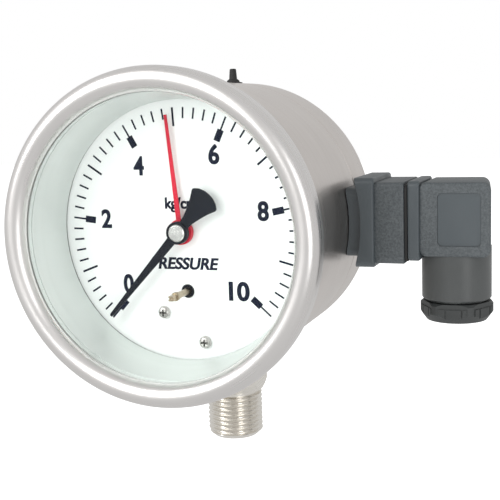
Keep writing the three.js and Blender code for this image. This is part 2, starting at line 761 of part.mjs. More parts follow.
const connectorGasket = cut(squareBar(26.4, BASE_END + 0.2, PLUG_START - 0.2, 2), squareBar(20, 60, 80, 1));
add("connector_gasket", connectorGasket, rubber);

function plugHousing() {
  const rim = squareBar(PLUG_RIM, PLUG_START, PLUG_START + 4, 2, RIM_RISE);
  const body = squareBar(PLUG_SIDE, PLUG_START + 3.8, PLUG_END, 1.6, PLUG_RISE);
  const draft = block([0, 20], [-5, 40], [-30, 30])
    .rotateZ(rad(PLUG_DRAFT))
    .translate(PLUG_END, PLUG_Y - PLUG_SIDE / 2, 0);
  const neck = turned(
    [
      [0, -9],
      [GLAND_R, -9],
      [GLAND_R, -26.4],
      [GLAND_R - 1.2, -27.6],
      [GLAND_R - 3, -27.6],
      [GLAND_R - 3, -31.4],
      [0, -31.4],
    ],
    "z",
    24,
  ).translate(GLAND_X, PLUG_Y, 0);
  const cavity = squareBar(PLUG_SIDE - 2 * PLUG_WALL, PLUG_START - 1, PLUG_END - 8, 1, PLUG_RISE);
  const bore = rod(GLAND_R - 4.6, -40, -5, "z", 16).translate(GLAND_X, PLUG_Y, 0);
  const screwBore = rod(1.9, 90, 110, "x", 16).translate(0, PLUG_Y, PLUG_Z);
  const screwSeat = rod(3.6, SCREW_SEAT, 110, "x", 16).translate(0, PLUG_Y, PLUG_Z);
  return cut(join(rim, cut(body, draft), neck), cavity, bore, screwBore, screwSeat);
}
add("plug_housing", plugHousing(), greyPlastic);

function contactInsert() {
  const carrier = squareBar(PLUG_SIDE - 2 * PLUG_WALL - 2 * GAP, PLUG_START + 0.2, 86, 0.8, PLUG_RISE);
  const slots = Object.keys(PIN_PLACES).map((name) => bladeBlock(name, 60, 83, GAP));
  const screwHole = rod(1.9, 60, 100, "x", 16).translate(0, PLUG_Y, PLUG_Z);
  return cut(carrier, screwHole, ...slots);
}
add("contact_insert", contactInsert(), darkPlastic);

function plugScrew() {
  const screw = turned(
    [
      [0, 67.5],
      [1.4, 67.5],
      [1.4, SCREW_SEAT + GAP],
      [3.2, SCREW_SEAT + GAP],
      [3.2, SCREW_SEAT + 1.6],
      [2.6, SCREW_SEAT + 2.1],
      [0, SCREW_SEAT + 2.1],
    ],
    "x",
    16,
  );
  const slot = block([SCREW_SEAT + 1.4, SCREW_SEAT + 3], [-4, 4], [-0.35, 0.35]);
  return cut(screw, slot).translate(0, PLUG_Y, PLUG_Z);
}
add("plug_screw", plugScrew(), steel);

add("gland_seal", ring(CABLE_R, GLAND_R - 4.9, -31.4, -24, "z", 16).translate(GLAND_X, PLUG_Y, 0), rubber);
add("gland_washer", ring(CABLE_R, GLAND_R - 3.4, -32.6, -31.7, "z", 16).translate(GLAND_X, PLUG_Y, 0), steel);

// Hexagonal pressure nut over the neck's lower end.
function glandNut() {
  const outer = new THREE.CylinderGeometry(13, 13, NUT_TOP - NUT_BOTTOM, 6);
  outer.rotateX(Math.PI / 2).translate(0, 0, (NUT_TOP + NUT_BOTTOM) / 2);
  const chamfer = turned(
    [
      [0, NUT_BOTTOM],
      [9.8, NUT_BOTTOM],
      [12.4, NUT_BOTTOM + 2.4],
      [12.4, NUT_TOP - 0.6],
      [11.6, NUT_TOP],
      [0, NUT_TOP],
    ],
    "z",
    24,
  );
  const thread = rod(GLAND_R - 3 + GAP, -32.9, NUT_TOP + 1, "z", 16);
  const cable = rod(CABLE_R + 0.4, NUT_BOTTOM - 1, -30, "z", 16);
  return cut(common(outer, chamfer), thread, cable).translate(GLAND_X, PLUG_Y, 0);
}
add("gland_nut", glandNut(), darkPlastic);

export default gauge;
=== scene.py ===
"""Contact pressure gauge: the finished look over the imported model.

Sizes are in millimetres, placed from the same point as the CAD model: z = 0 is the pointer's axis
and y = 0 is the Bourdon tube's plane. to_row() turns them into the row frame, in metres.
"""
import math

import bmesh
import bpy
from mathutils import Matrix, Vector


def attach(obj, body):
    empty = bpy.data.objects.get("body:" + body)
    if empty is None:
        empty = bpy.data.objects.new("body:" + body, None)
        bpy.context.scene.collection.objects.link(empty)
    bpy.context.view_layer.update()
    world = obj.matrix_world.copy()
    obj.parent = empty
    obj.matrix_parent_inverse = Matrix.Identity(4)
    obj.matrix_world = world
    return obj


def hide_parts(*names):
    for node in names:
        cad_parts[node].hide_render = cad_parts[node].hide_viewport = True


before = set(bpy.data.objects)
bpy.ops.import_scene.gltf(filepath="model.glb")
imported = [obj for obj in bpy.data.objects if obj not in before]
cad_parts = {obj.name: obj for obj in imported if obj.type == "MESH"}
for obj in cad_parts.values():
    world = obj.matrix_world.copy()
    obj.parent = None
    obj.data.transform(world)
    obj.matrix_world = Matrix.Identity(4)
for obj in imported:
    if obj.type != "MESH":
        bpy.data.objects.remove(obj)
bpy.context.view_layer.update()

# ---- driving dimensions, as in the CAD model ----
MM = 0.001
AXIS_HEIGHT = 84
STEM_Y = 7
CASE_R = 50
CASE_WALL = 1.2
CASE_FRONT = -53.7
CASE_REAR = 28
CASE_GROOVE = 8  # shallow line rolled round the case
FLANGE_R = 52.6
REAR_OPENING_R = 44
BEZEL_R = 54.5
BEZEL_FRONT = -62
SIGHT_R = 46.3
WINDOW_CLEAR_R = 46.35
WINDOW_THICK = 1.9
WINDOW_R = 52.2
GASKET_R = 48.6  # inner edge of the window's gasket
DIAL_FRONT = -35.8
DIAL_R = 47.6
DIAL_THICK = 0.8
SIGHT_R_AT_DIAL = 44.1
SHADOW_RING_THICK = 0.6  # thickness of the black ring between the dial and the inner ring, painted shadow for the gap there
DIAL_TURN = -2.7
SCALE_SWEEP = 270
ZERO_ANGLE = DIAL_TURN - SCALE_SWEEP / 2
FULL_SCALE = 10
SET_VALUE = 4.9
SET_ANGLE = ZERO_ANGLE + SCALE_SWEEP * SET_VALUE / FULL_SCALE
MARK_OUTER_R = 41.5
MARK_WIDTH = 0.62
ADJUSTER_R = 20.4
ADJUSTER_ANGLE = 177
DIAL_SCREWS = ((-7.9, -28), (6.9, -37.8))
NUMERALS = {
    0: (-21.2, -18.4),
    2: (-28.5, 4.1),
    4: (-15.2, 22.2),
    6: (12.4, 25.7),
    8: (29.0, 7),
    10: (19.7, -19.9),
}
GLYPH_SWELL = 0.03  # makes the font's strokes heavier
THREAD_R = 10.48
THREAD_PITCH = 1.814
THREAD_DEPTH = 1.0
STEM_END = -84
FLATS_LOW = -66
SQUARE = 22
CORNER_R = 13  # the square's turned corners
THREAD_TOP = FLATS_LOW - 1.6
PLUG_Y = 5
FLANGE_SIDE = 30.8  # of the square saddle against the case
HOOD_CORNER = 2.7
BASE_SIDE = 28
BASE_END = 69.6
SADDLE_R = 54.9  # hollow of the flange, which stands off the case
NECK_SIDE = 24
PLUG_START = 70.8
PLUG_RIM = 27.2
RIM_RISE = 0.7
PLUG_SIDE = 25.2
PLUG_RISE = 1.2
PLUG_CAVITY = PLUG_SIDE - 4.4
PLUG_END = 98.4
PLUG_DRAFT = 7  # degrees that the hood's outer end leans in towards the back
SCREW_SEAT = PLUG_END - 5
GLAND_X = 85.3
GLAND_R = 11.9
NUT_TOP = -28
NUT_BOTTOM = -34.6
NUT_CORNER_R = 13
VENT_Y = 16.8
BACK_COVER = (CASE_REAR + 0.9, CASE_REAR + 2.1)
BACK_SCREW_R = 46.8
BACK_COVER_R = 49.5
BLOWOUT_Z = 22
PRINT_LIFT = 0.03
ROUND = 192
SMALL_ROUND = 48


def to_row(x, y, z):
    return Vector((x * MM, (y - STEM_Y) * MM, (z + AXIS_HEIGHT) * MM))


def at_angle(r, clockwise_from_top):
    angle = math.radians(clockwise_from_top)
    return r * math.sin(angle), r * math.cos(angle)


# ---- materials ----
class Shader:
    """A Principled material with a few texture helpers. Texture sizes are in millimetres."""

    def __init__(self, name, color, roughness, metallic=0.0):
        self.material = bpy.data.materials.new(name)
        self.material.use_nodes = True
        self.tree = self.material.node_tree
        self.bsdf = self.tree.nodes["Principled BSDF"]
        self.set("Base Color", (*color, 1))
        self.set("Roughness", roughness)
        self.set("Metallic", metallic)

    def set(self, socket, value):
        self.bsdf.inputs[socket].default_value = value

    def node(self, kind, **inputs):
        made = self.tree.nodes.new(kind)
        for key, value in inputs.items():
            made.inputs[key].default_value = value
        return made

    def link(self, source, target):
        self.tree.links.new(source, target)

    def noise(self, per_mm=(1, 1, 1), detail=3.0, rough=0.55):
        """Noise that varies this many times per millimetre along each axis."""
        coordinates = self.node("ShaderNodeTexCoord")
        mapping = self.node("ShaderNodeMapping")
        mapping.inputs["Scale"].default_value = [n / MM for n in per_mm]
        noise = self.node("ShaderNodeTexNoise", Scale=1.0, Detail=detail, Roughness=rough)
        self.link(coordinates.outputs["Object"], mapping.inputs["Vector"])
        self.link(mapping.outputs["Vector"], noise.inputs["Vector"])
        return noise.outputs["Fac"]

    def ramp(self, fac, low, high, start=0.3, end=0.7):
        """Stretches the part of a noise from start to end over low to high."""
        ramp = self.node("ShaderNodeMapRange")
        ramp.inputs["From Min"].default_value = start
        ramp.inputs["From Max"].default_value = end
        ramp.inputs["To Min"].default_value = low
        ramp.inputs["To Max"].default_value = high
        self.link(fac, ramp.inputs["Value"])
        return ramp.outputs["Result"]

    def mix(self, fac, first, second):
        mixer = self.node("ShaderNodeMix")
        mixer.data_type = "RGBA"
        mixer.inputs["A"].default_value = (*first, 1)
        mixer.inputs["B"].default_value = (*second, 1)
        self.link(fac, mixer.inputs["Factor"])
        return mixer.outputs["Result"]

    def vary_color(self, fac, first, second):
        self.link(self.mix(fac, first, second), self.bsdf.inputs["Base Color"])
        return self

    def vary_roughness(self, fac, low, high):
        self.link(self.ramp(fac, low, high), self.bsdf.inputs["Roughness"])
        return self

    def bump(self, fac, height_mm):
        bump = self.node("ShaderNodeBump", Strength=1.0, Distance=height_mm * MM)
        self.link(fac, bump.inputs["Height"])
        if self.bsdf.inputs["Normal"].is_linked:
            self.link(self.bsdf.inputs["Normal"].links[0].from_socket, bump.inputs["Normal"])
        self.link(bump.outputs["Normal"], self.bsdf.inputs["Normal"])
        return self


def brushed(name, color, darker, roughness, grain, height=0.004):
    """Metal with grain lines: grain gives how fast the lines vary along x, y and z."""
    shader = Shader(name, color, roughness, 1.0)
    lines = shader.noise(grain, detail=4.0)
    patches = shader.noise((0.05, 0.05, 0.05), detail=2.0)
    shader.vary_color(patches, darker, color)
    shader.vary_roughness(lines, roughness - 0.07, roughness + 0.09)
    shader.bump(lines, height)
    return shader.material


def plain_metal(name, color, darker, roughness):
    shader = Shader(name, color, roughness, 1.0)
    spots = shader.noise((0.6, 0.6, 0.6), detail=4.0)
    shader.vary_color(spots, darker, color)
    shader.vary_roughness(spots, roughness - 0.06, roughness + 0.1)
    shader.bump(shader.noise((6, 6, 6)), 0.003)
    return shader.material


def moulded(name, color, darker, roughness, grain_mm=0.016):
    """Moulded plastic with a fine spark-eroded grain and faint handling marks."""
    shader = Shader(name, color, roughness)
    patches = shader.noise((0.12, 0.12, 0.12), detail=4.0)
    grain = shader.noise((2.6, 2.6, 2.6), detail=2.0)
    shader.vary_color(patches, darker, color)
    shader.vary_roughness(patches, roughness - 0.06, roughness + 0.08)
    shader.bump(grain, grain_mm)
    return shader.material


def sparked(name, color, darker, roughness):
    """Plastic moulded in a spark-eroded tool: close pits with paler high spots."""
    shader = Shader(name, color, roughness)
    grain = shader.noise((1.6, 1.6, 1.6), detail=5.0, rough=0.7)
    shader.vary_color(shader.ramp(grain, 0, 1, 0.38, 0.66), darker, color)
    shader.vary_roughness(grain, roughness - 0.08, roughness + 0.1)
    shader.bump(grain, 0.035)
    return shader.material


def painted(name, color, darker, roughness, grain_mm=0.004, specular=0.5):
    shader = Shader(name, color, roughness)
    shader.set("Specular IOR Level", specular)
    orange_peel = shader.noise((1.5, 1.5, 1.5), detail=2.0)
    shader.vary_color(shader.noise((0.08, 0.08, 0.08)), darker, color)
    shader.vary_roughness(orange_peel, roughness - 0.04, roughness + 0.05)
    shader.bump(orange_peel, grain_mm)
    return shader.material


def window_material():
    """Clear glass: seen straight through from every side, with a faint reflection."""
    shader = Shader("window_glass", (1, 1, 1), 0.02)
    transparent = shader.node("ShaderNodeBsdfTransparent", Color=(0.985, 0.995, 0.99, 1))
    glossy = shader.node("ShaderNodeBsdfGlossy", Roughness=0.03)
    mixer = shader.node("ShaderNodeMixShader")
    mixer.inputs[0].default_value = 0.015
    shader.link(transparent.outputs["BSDF"], mixer.inputs[1])
    shader.link(glossy.outputs["BSDF"], mixer.inputs[2])
    output = shader.tree.nodes["Material Output"]
    shader.link(mixer.outputs["Shader"], output.inputs["Surface"])
    return shader.material


ROUND_GRAIN = (0.03, 2.5, 0.03)  # lines that run round the gauge's axis
CASE_STEEL = brushed("case_steel", (0.72, 0.675, 0.64), (0.62, 0.58, 0.55), 0.34, ROUND_GRAIN, 0.001)
BEZEL_GRAIN = (0.02, 1.0, 0.02)
BEZEL_STEEL = brushed("bezel_steel", (0.78, 0.76, 0.745), (0.72, 0.70, 0.685), 0.3, BEZEL_GRAIN, 0.0006)
INNER_STEEL = brushed("inner_steel", (0.80, 0.83, 0.81), (0.77, 0.80, 0.78), 0.5, (0.02, 0.5, 0.02), 0.0004)
STEM_STEEL = brushed("stem_steel", (0.84, 0.81, 0.76), (0.76, 0.73, 0.67), 0.24, (0.1, 0.1, 3.0), 0.002)
FASTENER_STEEL = plain_metal("fastener_steel", (0.62, 0.60, 0.58), (0.48, 0.46, 0.44), 0.28)
# Near-black steel: painted shade for the floors of the screws' cross recesses.
RECESS_PAINTED_SHADE = plain_metal("recess_painted_shade", (0.10, 0.10, 0.09), (0.06, 0.06, 0.055), 0.5)
BRASS = plain_metal("brass", (0.50, 0.42, 0.31), (0.36, 0.29, 0.20), 0.3)
BRONZE = plain_metal("bronze", (0.60, 0.42, 0.24), (0.48, 0.32, 0.18), 0.34)
SILVER = plain_metal("silver", (0.88, 0.87, 0.85), (0.78, 0.77, 0.75), 0.2)
GREY_PLASTIC = sparked("grey_plastic", (0.090, 0.102, 0.108), (0.046, 0.054, 0.059), 0.5)
GLAND_PLASTIC = moulded("gland_plastic", (0.062, 0.066, 0.066), (0.05, 0.054, 0.054), 0.36, 0.004)
# Darker grey plastic; on the flange and its neck it is also painted shade.
PANEL_PLASTIC_AND_SHADE = moulded("panel_plastic_and_shade", (0.062, 0.074, 0.081), (0.052, 0.063, 0.07), 0.42, 0.004)
DARK_PLASTIC = moulded("dark_plastic", (0.035, 0.038, 0.038), (0.025, 0.028, 0.028), 0.48)
# Lighter plastic for the nut's rounded edges: partly wear, partly painted highlight.
DARK_EDGE_WEAR_AND_HIGHLIGHT = moulded("dark_plastic_edge_wear_and_highlight", (0.09, 0.095, 0.095), (0.06, 0.065, 0.065), 0.4)
RUBBER = moulded("rubber", (0.018, 0.018, 0.018), (0.012, 0.012, 0.012), 0.7, 0.01)
DIAL_WHITE = painted("dial_white", (0.93, 0.94, 0.935), (0.90, 0.915, 0.91), 0.5)
PRINT_NAVY = painted("print_navy", (0.004, 0.008, 0.026), (0.003, 0.006, 0.02), 0.6, 0.001, 0.08)
POINTER_BLACK = painted("pointer_black", (0.003, 0.005, 0.012), (0.002, 0.004, 0.009), 0.4, 0.002, 0.15)
SET_RED = painted("set_red", (0.62, 0.012, 0.04), (0.52, 0.008, 0.028), 0.45, 0.002, 0.2)
WINDOW_GLASS = window_material()
LEAD_RED = painted("lead_red", (0.5, 0.03, 0.02), (0.42, 0.02, 0.015), 0.35)
LEAD_BLACK = painted("lead_black", (0.02, 0.02, 0.02), (0.015, 0.015, 0.015), 0.35)
LEAD_GREEN = painted("lead_green", (0.08, 0.3, 0.08), (0.06, 0.24, 0.06), 0.35)


# ---- mesh tools ----
def finish_piece(name, mesh, materials, body, replaces=(), slot=None, sharp=35):
    for material in materials if isinstance(materials, (list, tuple)) else [materials]:
        mesh.materials.append(material)
    mesh.shade_smooth()
    mesh.set_sharp_from_angle(angle=math.radians(sharp))
    piece = bpy.data.objects.new(name, mesh)
    bpy.context.scene.collection.objects.link(piece)
    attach(piece, body)
    if replaces:
        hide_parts(*replaces)
    return piece


def mesh_from(name, points, faces):
    """A mesh from points in head millimetres, with its faces turned outwards."""
    mesh = bpy.data.meshes.new(name)
    mesh.from_pydata([to_row(*p) for p in points], [], faces)
    shape = bmesh.new()
    shape.from_mesh(mesh)
    bmesh.ops.remove_doubles(shape, verts=shape.verts, dist=1e-7)
    bmesh.ops.recalc_face_normals(shape, faces=shape.faces)
    shape.to_mesh(mesh)
    shape.free()
    return mesh


def filleted(points, closed=True, steps=6):
    """Rounds each corner given as (x, y, radius). Corners with no radius stay sharp."""
    rounded = []
    count = len(points)
    for i, (x, y, *radius) in enumerate(points):
        if not radius or (not closed and i in (0, count - 1)):
            rounded.append((x, y))
            continue
        corner = Vector((x, y))
        before = (Vector(points[i - 1][:2]) - corner).normalized()
        after = (Vector(points[(i + 1) % count][:2]) - corner).normalized()
        half = before.angle(after) / 2
        centre = corner + (before + after).normalized() * radius[0] / math.sin(half)
        start = corner + before * radius[0] / math.tan(half) - centre
        end = corner + after * radius[0] / math.tan(half) - centre
        first = math.atan2(start.y, start.x)
        sweep = (math.atan2(end.y, end.x) - first + math.pi) % (2 * math.pi) - math.pi
        for k in range(steps + 1):
            angle = first + sweep * k / steps
            rounded.append((centre.x + radius[0] * math.cos(angle), centre.y + radius[0] * math.sin(angle)))
    return rounded


AXES = {
    "x": lambda r, t, c, s: (t, r * c, r * s),
    "y": lambda r, t, c, s: (r * c, t, r * s),
    "z": lambda r, t, c, s: (r * c, r * s, t),
}


def lathe_mesh(name, profile, axis="y", centre=(0, 0, 0), sides=ROUND, closed=None):
    """Turns (radius, distance) points about an axis. A profile that isn't closed ends on the axis."""
    if closed is None:
        closed = profile[0][0] > 0
    points = []
    for k in range(sides):
        c = math.cos(2 * math.pi * k / sides)
        s = math.sin(2 * math.pi * k / sides)
        points += [Vector(AXES[axis](r, t, c, s)) + Vector(centre) for r, t in profile]
    n = len(profile)
    faces = []
    for k in range(sides):
        here = k * n
        there = ((k + 1) % sides) * n
        for i in range(n if closed else n - 1):
            j = (i + 1) % n
            faces.append((here + i, here + j, there + j, there + i))
    return mesh_from(name, points, faces)


def lathe(name, profile, material, body, axis="y", centre=(0, 0, 0), sides=ROUND, **options):
    closed = profile[0][0] > 0
    mesh = lathe_mesh(name, filleted(profile, closed), axis, centre, sides, closed)
    return finish_piece(name, mesh, material, body, **options)


def prism_mesh(name, outline, start, end, axis="y"):
    """An outline thickened along an axis. The outline's two numbers are the other two coordinates."""
    n = len(outline)
    place = {
        "x": lambda u, v, t: (t, u, v),
        "y": lambda u, v, t: (u, t, v),
        "z": lambda u, v, t: (u, v, t),
    }[axis]
    points = [place(u, v, t) for t in (start, end) for u, v in outline]
    faces = [tuple(range(n)), tuple(range(2 * n - 1, n - 1, -1))]
    faces += [(i, (i + 1) % n, n + (i + 1) % n, n + i) for i in range(n)]
    return mesh_from(name, points, faces)


def box_mesh(name, low, high):
    (x0, y0, z0), (x1, y1, z1) = low, high
    return prism_mesh(name, [(x0, z0), (x1, z0), (x1, z1), (x0, z1)], y0, y1)


def bevel(piece, width, segments=4, edge_material=-1, angle=35):
    modifier = piece.modifiers.new("edges", "BEVEL")
    modifier.width = width * MM
    modifier.segments = segments
    modifier.limit_method = "ANGLE"
    modifier.angle_limit = math.radians(angle)
    modifier.harden_normals = True
    modifier.material = edge_material


def softened(mesh, width, segments=4):
    """The mesh with its edges rounded."""
    base = helper_object(mesh)
    bevel(base, width, segments)
    graph = bpy.context.evaluated_depsgraph_get()
    result = bpy.data.meshes.new_from_object(base.evaluated_get(graph))
    bpy.data.objects.remove(base)
    return result


def helper_object(mesh):
    piece = bpy.data.objects.new(mesh.name, mesh)
    bpy.context.scene.collection.objects.link(piece)
    return piece


def carved(name, mesh, cuts=(), joins=(), keep_inside=()):
    """The mesh with some joined to it, then cut back to the inside of others, then with others cut out."""
    base = helper_object(mesh)
    tools = [(helper_object(m), "UNION") for m in joins]
    tools += [(helper_object(m), "INTERSECT") for m in keep_inside]
    tools += [(helper_object(m), "DIFFERENCE") for m in cuts]
    for tool, operation in tools:
        modifier = base.modifiers.new("carve", "BOOLEAN")
        modifier.operation = operation
        modifier.solver = "EXACT"
        modifier.object = tool
    graph = bpy.context.evaluated_depsgraph_get()
    result = bpy.data.meshes.new_from_object(base.evaluated_get(graph))
    result.name = name
    for piece in [base] + [tool for tool, _ in tools]:
        bpy.data.objects.remove(piece)
    return result


def circle_outline(r, x=0, z=0):
    turns = [2 * math.pi * k / SMALL_ROUND for k in range(SMALL_ROUND)]
    return [(x + r * math.cos(turn), z + r * math.sin(turn)) for turn in turns]


def case_cylinder(r):
    """A solid cylinder along the case's axis, to cut pieces that sit against the case."""
    return lathe_mesh("case_cylinder", [(0, -60), (r, -60), (r, 60), (0, 60)], closed=False)


# ---- case ----
def make_case():
    groove = CASE_GROOVE
    inner = CASE_R - CASE_WALL
    profile = [
        (inner, CASE_FRONT),
        (FLANGE_R, CASE_FRONT, 0.3),
        (FLANGE_R, CASE_FRONT + 1.5, 0.3),
        (CASE_R, CASE_FRONT + 1.5),
        (CASE_R, groove - 0.5, 0.2),
        (CASE_R - 0.45, groove - 0.1),
        (CASE_R - 0.45, groove + 0.1),
        (CASE_R, groove + 0.5, 0.2),
        (CASE_R, CASE_REAR, 1.0),
        (REAR_OPENING_R, CASE_REAR),
        (REAR_OPENING_R, CASE_REAR - 1.5),
        (inner, CASE_REAR - 1.5),
    ]
    lathe("case_body", profile, CASE_STEEL, "frame", replaces=["case_shell"], slot="case")


def make_bezel():
    front = BEZEL_FRONT
    bead = []
    for k in range(25):
        angle = math.radians(-172 + k * 172 / 24)
        bead.append((50.5 + 4.0 * math.cos(angle), front + 4.2 + 4.2 * math.sin(angle)))
    profile = [
        *bead,
        (BEZEL_R, front + 8.2, 1.5),
        (BEZEL_R - 1.2, front + 11.8, 0.5),
        (BEZEL_R - 1.9, front + 11.8),
        (BEZEL_R - 1.4, front + 5.2),
        (SIGHT_R + 0.4, front + 4.45, 0.2),
    ]
    lathe("bezel", profile, BEZEL_STEEL, "bezel", replaces=["bezel_ring"], slot="bezel")


def square_ring(inner, outer, front, rear):
    """The profile of a ring with a rectangular section."""
    return [(inner, front), (outer, front), (outer, rear), (inner, rear)]


def make_window():
    """The pane's side is steel, as its rim is, so that it doesn't mirror the scale."""
    rear = CASE_FRONT - 1.7
    front = rear - WINDOW_THICK
    profile = [(0, front), (WINDOW_CLEAR_R, front), (WINDOW_CLEAR_R, rear), (0, rear)]
    mesh = lathe_mesh("window_pane", profile, closed=False)
    for polygon in mesh.polygons:
        polygon.material_index = int(abs(polygon.normal.y) < 0.5)
    looks = [WINDOW_GLASS, INNER_STEEL]
    finish_piece("window_pane", mesh, looks, "frame", replaces=["window"], slot="glass")
    inner = SIGHT_R + 0.1
    rim = [(inner, front), (WINDOW_R, front, 0.2), (WINDOW_R, rear, 0.2), (inner, rear)]
    lathe("window_rim", rim, INNER_STEEL, "frame", slot="glass")
    gasket = square_ring(GASKET_R, WINDOW_R, CASE_FRONT - 1.4, CASE_FRONT - 0.3)
    lathe("window_seal", gasket, RUBBER, "frame", replaces=["window_gasket"], slot="rubber")
    spacer = [
        (SIGHT_R, CASE_FRONT - 1.4, 0.3),
        (48.3, CASE_FRONT - 1.4),
        (48.3, CASE_FRONT + 0.2),
        (SIGHT_R + 1, CASE_FRONT + 0.2),
        (SIGHT_R_AT_DIAL + 1.2, DIAL_FRONT - SHADOW_RING_THICK),
        (SIGHT_R_AT_DIAL, DIAL_FRONT - SHADOW_RING_THICK, 0.2),
    ]
    # A black rubber ring round the dial's edge: painted shadow for the gap between the dial and the inner
    # ring.
    shadow_ring_radii = (SIGHT_R_AT_DIAL + 0.25, SIGHT_R_AT_DIAL + 2.5)
    shadow_ring = square_ring(*shadow_ring_radii, DIAL_FRONT - SHADOW_RING_THICK + 0.02, DIAL_FRONT - 0.03)
    lathe("dial_shadow_ring", shadow_ring, RUBBER, "frame", slot="rubber")
    lathe("inner_ring", spacer, INNER_STEEL, "frame", replaces=["spacer_ring"], slot="spacer")


def make_vent():
    profile = [
        (0, 46.5),
        (4.3, 46.5),
        (4.3, 47.6, 0.2),
        (3.5, 48.2),
        (3.5, 50.2),
        (2.5, 50.4, 0.2),
        (2.3, 51.0, 0.3),
        (1.5, 51.6, 0.3),
        (1.4, 53, 0.5),
        (1.2, 55.4, 0.5),
        (0, 55.4),
    ]
    place = ("z", (0, VENT_Y, 0), SMALL_ROUND)
    lathe("vent_cap", profile, RUBBER, "frame", *place, replaces=["vent_plug"], slot="rubber")


def phillips_screw(name, place, face, way, shank_end, replaces):
    """A pan-head screw along y. Its head's outer face is at face, facing way, with painted shade in its
    cross recess.
    """
    x, z = place
    drop = -way
    profile = [
        (0, face),
        (1.1, face + 0.03 * drop),
        (1.9, face + 0.5 * drop, 0.5),
        (2.2, face + 1.3 * drop),
        (1.15, face + 1.3 * drop),
        (1.15, shank_end),
        (0, shank_end),
    ]
    head = lathe_mesh(name, filleted(profile, False), "y", (x, 0, z), SMALL_ROUND, False)
    depth = 0.75
    low = min(face - way * depth, face + way * depth)
    high = max(face - way * depth, face + way * depth)
    across = box_mesh("cross_a", (x - 1.25, low, z - 0.28), (x + 1.25, high, z + 0.28))
    down = box_mesh("cross_b", (x - 0.28, low, z - 1.25), (x + 0.28, high, z + 1.25))
    mesh = carved(name, head, cuts=[across, down])
    # Faces 0.3 to 0.9 mm down inside the cross get the near-black steel: painted shade in the recess.
    looks = [FASTENER_STEEL, RECESS_PAINTED_SHADE]
    piece = finish_piece(name, mesh, looks, "frame", replaces=[replaces], slot="fastener")
    middle = to_row(x, face, z)
    for polygon in mesh.polygons:
        offset = polygon.center - middle
        shade_depth = 0.3 * MM < -way * offset.y < 0.9 * MM
        polygon.material_index = int(shade_depth and max(abs(offset.x), abs(offset.z)) < 1.3 * MM)
    bevel(piece, 0.06, 2)


def make_back():
    low, high = BACK_COVER
    outline = filleted([(0, low), (BACK_COVER_R, low, 0.3), (BACK_COVER_R, high, 0.5), (0, high)], False)
    disc = lathe_mesh("back_disc", outline, closed=False)
    middle = (0, 0, BLOWOUT_Z)
    hole = lathe_mesh("hole", [(0, 20), (9, 20), (9, 40), (0, 40)], centre=middle, sides=64, closed=False)
    mesh = carved("rear_cover", disc, cuts=[hole])
    finish_piece("rear_cover", mesh, CASE_STEEL, "frame", replaces=["back_cover"], slot="case")
    gasket = square_ring(REAR_OPENING_R, BACK_COVER_R + 0.1, CASE_REAR + 0.2, CASE_REAR + 0.7)
    lathe("rear_seal", gasket, RUBBER, "frame", replaces=["back_gasket"], slot="rubber")
    blowout = [
        (0, low - 1),
        (10.2, low - 1),
        (10.2, low - 0.3),
        (8.7, low - 0.3),
        (8.7, high + 0.6, 0.3),
        (7.5, high + 1.1, 0.4),
        (4.5, high + 1.1, 0.1),
        (4.2, high + 0.9, 0.1),
        (3.9, high + 1.1, 0.1),
        (0, high + 1.1),
    ]
    names = {"replaces": ["blowout_disc"], "slot": "rubber"}
    lathe("blowout_cap", blowout, RUBBER, "frame", "y", middle, 64, **names)
    for k, angle in enumerate((60, 180, 300), start=1):
        place = at_angle(BACK_SCREW_R, angle)
        phillips_screw(f"rear_screw_{k}", place, high + 1.6, 1, CASE_REAR - 4, f"back_cover_screw_{k}")


# ---- dial and its print ----
def make_dial():
    x, z = at_angle(ADJUSTER_R, ADJUSTER_ANGLE)
    rear = DIAL_FRONT + DIAL_THICK
    profile = [(0, DIAL_FRONT), (DIAL_R, DIAL_FRONT), (DIAL_R, rear), (0, rear)]
    disc = lathe_mesh("dial_disc", profile, closed=False)
    holes = [
        prism_mesh("hole", circle_outline(3.2), DIAL_FRONT - 1, DIAL_FRONT + 2),
        prism_mesh("hole", circle_outline(2.4, x, z), DIAL_FRONT - 1, DIAL_FRONT + 2),
    ]
    mesh = carved("dial_face", disc, cuts=holes)
    finish_piece("dial_face", mesh, DIAL_WHITE, "frame", replaces=["dial"], slot="dial")
    for k, place in enumerate(DIAL_SCREWS, start=1):
        head = DIAL_FRONT - 1.6
        phillips_screw(f"face_screw_{k}", place, head, -1, DIAL_FRONT + 5.8, f"dial_screw_{k}")
    bush = square_ring(1.5, 2.15, DIAL_FRONT - 0.3, DIAL_FRONT + 1)
    place = ("y", (x, 0, z), SMALL_ROUND)
    names = {"replaces": ["adjuster_bush"], "slot": "black_plastic"}
    lathe("bush_ring", bush, POINTER_BLACK, "frame", *place, **names)


def stroke(angle, inner, outer, width):
    """Four corners, in x and z, of a mark that points at the dial's centre."""
    along = Vector(at_angle(1, angle))
    side = Vector((along.y, -along.x)) * width / 2
    return [along * inner - side, along * outer - side, along * outer + side, along * inner + side]


def make_scale():
    marks = []
    for step in range(51):
        angle = ZERO_ANGLE + SCALE_SWEEP * step / 50
        if step % 10 == 0:
            marks.append(stroke(angle, 36.8, MARK_OUTER_R, MARK_WIDTH))
            marks.append(stroke(angle, 32.9, 36.9, 2.3))
        elif step % 5 == 0:
            marks.append(stroke(angle, 35.3, MARK_OUTER_R, 0.72))
        else:
            marks.append(stroke(angle, 37.8, MARK_OUTER_R, MARK_WIDTH))
    y = DIAL_FRONT - PRINT_LIFT
    points = [(x, y, z) for mark in marks for x, z in mark]
    faces = [tuple(range(4 * k, 4 * k + 4)) for k in range(len(marks))]
    mesh = bpy.data.meshes.new("scale_marks")
    mesh.from_pydata([to_row(*p) for p in points], [], faces)
    finish_piece("scale_marks", mesh, PRINT_NAVY, "frame", slot="dial")


